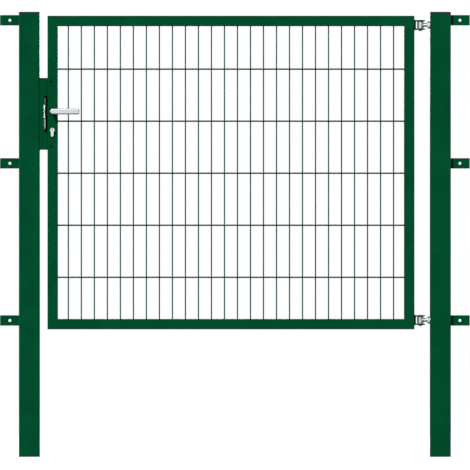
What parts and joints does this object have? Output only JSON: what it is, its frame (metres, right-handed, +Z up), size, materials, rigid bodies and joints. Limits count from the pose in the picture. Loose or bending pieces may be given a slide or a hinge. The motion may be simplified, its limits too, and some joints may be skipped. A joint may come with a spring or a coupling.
{
  "type": "swing gate",
  "caption": "Single swing gate with a welded wire mesh leaf, square posts with fence tabs, adjustable eye hinges, lever latch and key lock.",
  "frame": {"origin": "level of the posts' feet, midway between the posts, in the mid-plane of the closed leaf", "axes": "+X from the lock post to the hinge post, +Y from the front of the gate to its back, +Z up"},
  "size_m": [1.806, 0.152, 1.71],
  "materials": {
    "green_powder_coat": "satin powder coat, moss green",
    "black_plastic": "moulded black polyamide",
    "zinc_plated_steel": "bright zinc plated",
    "stainless_steel": "rolled and brushed stainless",
    "galvanised_sheet": "galvanised",
    "anodised_aluminium": "silver anodised, satin",
    "nickel_plated_brass": "satin nickel plated",
    "bare_brass": "machined",
    "natural_nylon": "natural nylon",
    "black_rubber": "extruded",
    "black_steel": "black zinc plated"
  },
  "bodies": {
    "posts": {"hinge_post": "green_powder_coat", "hinge_post_cap": "black_plastic", "hinge_post_tab_bottom": "green_powder_coat", "hinge_post_tab_middle": "green_powder_coat", "hinge_post_tab_top": "green_powder_coat", "keeper": "green_powder_coat", "lock_post": "green_powder_coat", "lock_post_cap": "black_plastic", "lock_post_tab_bottom": "green_powder_coat", "lock_post_tab_middle": "green_powder_coat", "lock_post_tab_top": "green_powder_coat", "lower_eye_bolt": "zinc_plated_steel", "lower_lock_nut": "zinc_plated_steel", "lower_post_washer": "zinc_plated_steel", "lower_weld_nut": "zinc_plated_steel", "stop_buffer": "black_rubber", "strike_dust_box": "galvanised_sheet", "strike_plate": "stainless_steel", "strike_screws": "zinc_plated_steel", "upper_eye_bolt": "zinc_plated_steel", "upper_lock_nut": "zinc_plated_steel", "upper_post_washer": "zinc_plated_steel", "upper_weld_nut": "zinc_plated_steel"},
    "leaf": {"bottom_rail": "green_powder_coat", "cylinder_body": "nickel_plated_brass", "cylinder_screw": "zinc_plated_steel", "hinge_stile": "green_powder_coat", "lever_return_spring": "stainless_steel", "lever_ring_front": "black_plastic", "lever_ring_rear": "black_plastic", "lock_case": "galvanised_sheet", "lock_case_cover": "galvanised_sheet", "lock_fixing_screws": "black_steel", "lock_forend": "stainless_steel", "lock_stile": "green_powder_coat", "lower_hinge_bracket": "green_powder_coat", "lower_hinge_pin": "zinc_plated_steel", "lower_thrust_washers": "natural_nylon", "mesh_rods_1": "green_powder_coat", "mesh_rods_2": "green_powder_coat", "mesh_rods_3": "green_powder_coat", "mesh_rods_4": "green_powder_coat", "mesh_rods_5": "green_powder_coat", "mesh_wires": "green_powder_coat", "top_rail": "green_powder_coat", "upper_hinge_bracket": "green_powder_coat", "upper_hinge_pin": "zinc_plated_steel", "upper_thrust_washers": "natural_nylon"},
    "lever": {"lever_front": "anodised_aluminium", "lever_rear": "anodised_aluminium", "spindle": "zinc_plated_steel", "lever_grub_screws": "black_steel", "follower": "zinc_plated_steel"},
    "latch": {"latch_bolt": "black_steel"},
    "deadbolt": {"deadbolt": "zinc_plated_steel"},
    "cylinder_plug": {"cylinder_plugs": "nickel_plated_brass", "cylinder_cam": "bare_brass"}
  },
  "joints": [
    {"name": "leaf_swing", "type": "hinge", "parent": "posts", "child": "leaf", "pos_m": [0.7125, 0, 1.0925], "axis": [0, 0, 1], "range_deg": [0, 110]},
    {"name": "lever_turn", "type": "hinge", "parent": "leaf", "child": "lever", "pos_m": [-0.7015, 0, 1.327], "axis": [0, 1, 0], "range_deg": [0, 40], "stiffness_Nm_per_rad": 1.2, "springref_deg": -20.05},
    {"name": "latch_slide", "type": "slide", "parent": "leaf", "child": "latch", "axis": [1, 0, 0], "range_m": [0, 0.012]},
    {"name": "cylinder_turn", "type": "hinge", "parent": "leaf", "child": "cylinder_plug", "pos_m": [-0.7015, 0, 1.255], "axis": [0, -1, 0], "range_deg": [0, 360]},
    {"name": "deadbolt_slide", "type": "slide", "parent": "leaf", "child": "deadbolt", "axis": [-1, 0, 0], "range_m": [0, 0.02]}
  ],
  "couplings": [
    {"joint": "latch_slide", "follows": "lever_turn", "m_per_rad": 0.01718},
    {"joint": "cylinder_turn", "follows": "deadbolt_slide", "rad_per_m": 314.1}
  ]
}
